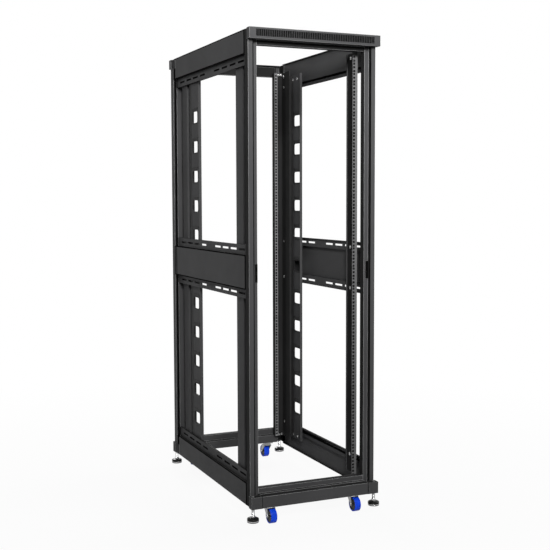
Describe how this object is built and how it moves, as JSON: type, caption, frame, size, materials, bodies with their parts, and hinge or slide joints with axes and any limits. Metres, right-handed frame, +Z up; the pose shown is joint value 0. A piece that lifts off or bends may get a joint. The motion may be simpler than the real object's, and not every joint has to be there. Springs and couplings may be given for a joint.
{
  "type": "open frame server rack",
  "caption": "Tall four post open frame server rack with slotted side panels, punched rails, ladder-like cable panels, swivel casters and levelling feet.",
  "frame": {"origin": "on the floor under the middle of the rack", "axes": "+Z up, +Y from the front to the rear, +X to the right as seen from the front"},
  "size_m": [0.624, 1.082, 2.055],
  "materials": {
    "black_powder_coat": "satin, finely textured",
    "zinc_plate": "bright zinc plate",
    "blue_wheel": "satin",
    "foot_black": "satin black pad, bright stud"
  },
  "bodies": {
    "frame": {"front_top_cover": "black_powder_coat", "rear_top_cover": "black_powder_coat", "front_base_bar": "black_powder_coat", "rear_base_bar": "black_powder_coat", "front_top_member": "black_powder_coat", "front_bottom_member": "black_powder_coat", "rear_top_member": "black_powder_coat", "rear_bottom_member": "black_powder_coat", "left_top_side_panel": "black_powder_coat", "left_middle_side_panel": "black_powder_coat", "left_bottom_side_panel": "black_powder_coat", "left_cable_panel": "black_powder_coat", "right_top_side_panel": "black_powder_coat", "right_middle_side_panel": "black_powder_coat", "right_bottom_side_panel": "black_powder_coat", "right_cable_panel": "black_powder_coat", "front_left_post": "black_powder_coat", "front_left_corner_block": "black_powder_coat", "front_left_rail": "black_powder_coat", "front_right_post": "black_powder_coat", "front_right_corner_block": "black_powder_coat", "front_right_rail": "black_powder_coat", "rear_left_post": "black_powder_coat", "rear_left_corner_block": "black_powder_coat", "rear_left_rail": "black_powder_coat", "rear_right_post": "black_powder_coat", "rear_right_corner_block": "black_powder_coat", "rear_right_rail": "black_powder_coat", "front_left_caster_plate": "zinc_plate", "front_right_caster_plate": "zinc_plate", "rear_left_caster_plate": "zinc_plate", "rear_right_caster_plate": "zinc_plate"},
    "front_left_fork": {"front_left_caster_fork": "zinc_plate"},
    "front_left_wheel": {"front_left_caster_wheel": "blue_wheel"},
    "front_left_foot": {"front_left_levelling_foot": "foot_black"},
    "front_right_fork": {"front_right_caster_fork": "zinc_plate"},
    "front_right_wheel": {"front_right_caster_wheel": "blue_wheel"},
    "front_right_foot": {"front_right_levelling_foot": "foot_black"},
    "rear_left_fork": {"rear_left_caster_fork": "zinc_plate"},
    "rear_left_wheel": {"rear_left_caster_wheel": "blue_wheel"},
    "rear_left_foot": {"rear_left_levelling_foot": "foot_black"},
    "rear_right_fork": {"rear_right_caster_fork": "zinc_plate"},
    "rear_right_wheel": {"rear_right_caster_wheel": "blue_wheel"},
    "rear_right_foot": {"rear_right_levelling_foot": "foot_black"}
  },
  "joints": [
    {"name": "front_left_caster_swivel", "type": "hinge", "parent": "frame", "child": "front_left_fork", "pos_m": [-0.199, -0.478, 0.07], "axis": [0, 0, 1], "continuous": true},
    {"name": "front_left_wheel_spin", "type": "hinge", "parent": "front_left_fork", "child": "front_left_wheel", "pos_m": [-0.199, -0.507, 0.0315], "axis": [1, 0, 0], "continuous": true},
    {"name": "front_left_foot_screw", "type": "slide", "parent": "frame", "child": "front_left_foot", "axis": [0, 0, 1], "range_m": [-0.02, 0.015]},
    {"name": "front_right_caster_swivel", "type": "hinge", "parent": "frame", "child": "front_right_fork", "pos_m": [0.199, -0.478, 0.07], "axis": [0, 0, 1], "continuous": true},
    {"name": "front_right_wheel_spin", "type": "hinge", "parent": "front_right_fork", "child": "front_right_wheel", "pos_m": [0.199, -0.507, 0.0315], "axis": [1, 0, 0], "continuous": true},
    {"name": "front_right_foot_screw", "type": "slide", "parent": "frame", "child": "front_right_foot", "axis": [0, 0, 1], "range_m": [-0.02, 0.015]},
    {"name": "rear_left_caster_swivel", "type": "hinge", "parent": "frame", "child": "rear_left_fork", "pos_m": [-0.199, 0.478, 0.07], "axis": [0, 0, 1], "continuous": true},
    {"name": "rear_left_wheel_spin", "type": "hinge", "parent": "rear_left_fork", "child": "rear_left_wheel", "pos_m": [-0.199, 0.507, 0.0315], "axis": [1, 0, 0], "continuous": true},
    {"name": "rear_left_foot_screw", "type": "slide", "parent": "frame", "child": "rear_left_foot", "axis": [0, 0, 1], "range_m": [-0.02, 0.015]},
    {"name": "rear_right_caster_swivel", "type": "hinge", "parent": "frame", "child": "rear_right_fork", "pos_m": [0.199, 0.478, 0.07], "axis": [0, 0, 1], "continuous": true},
    {"name": "rear_right_wheel_spin", "type": "hinge", "parent": "rear_right_fork", "child": "rear_right_wheel", "pos_m": [0.199, 0.507, 0.0315], "axis": [1, 0, 0], "continuous": true},
    {"name": "rear_right_foot_screw", "type": "slide", "parent": "frame", "child": "rear_right_foot", "axis": [0, 0, 1], "range_m": [-0.02, 0.015]}
  ]
}
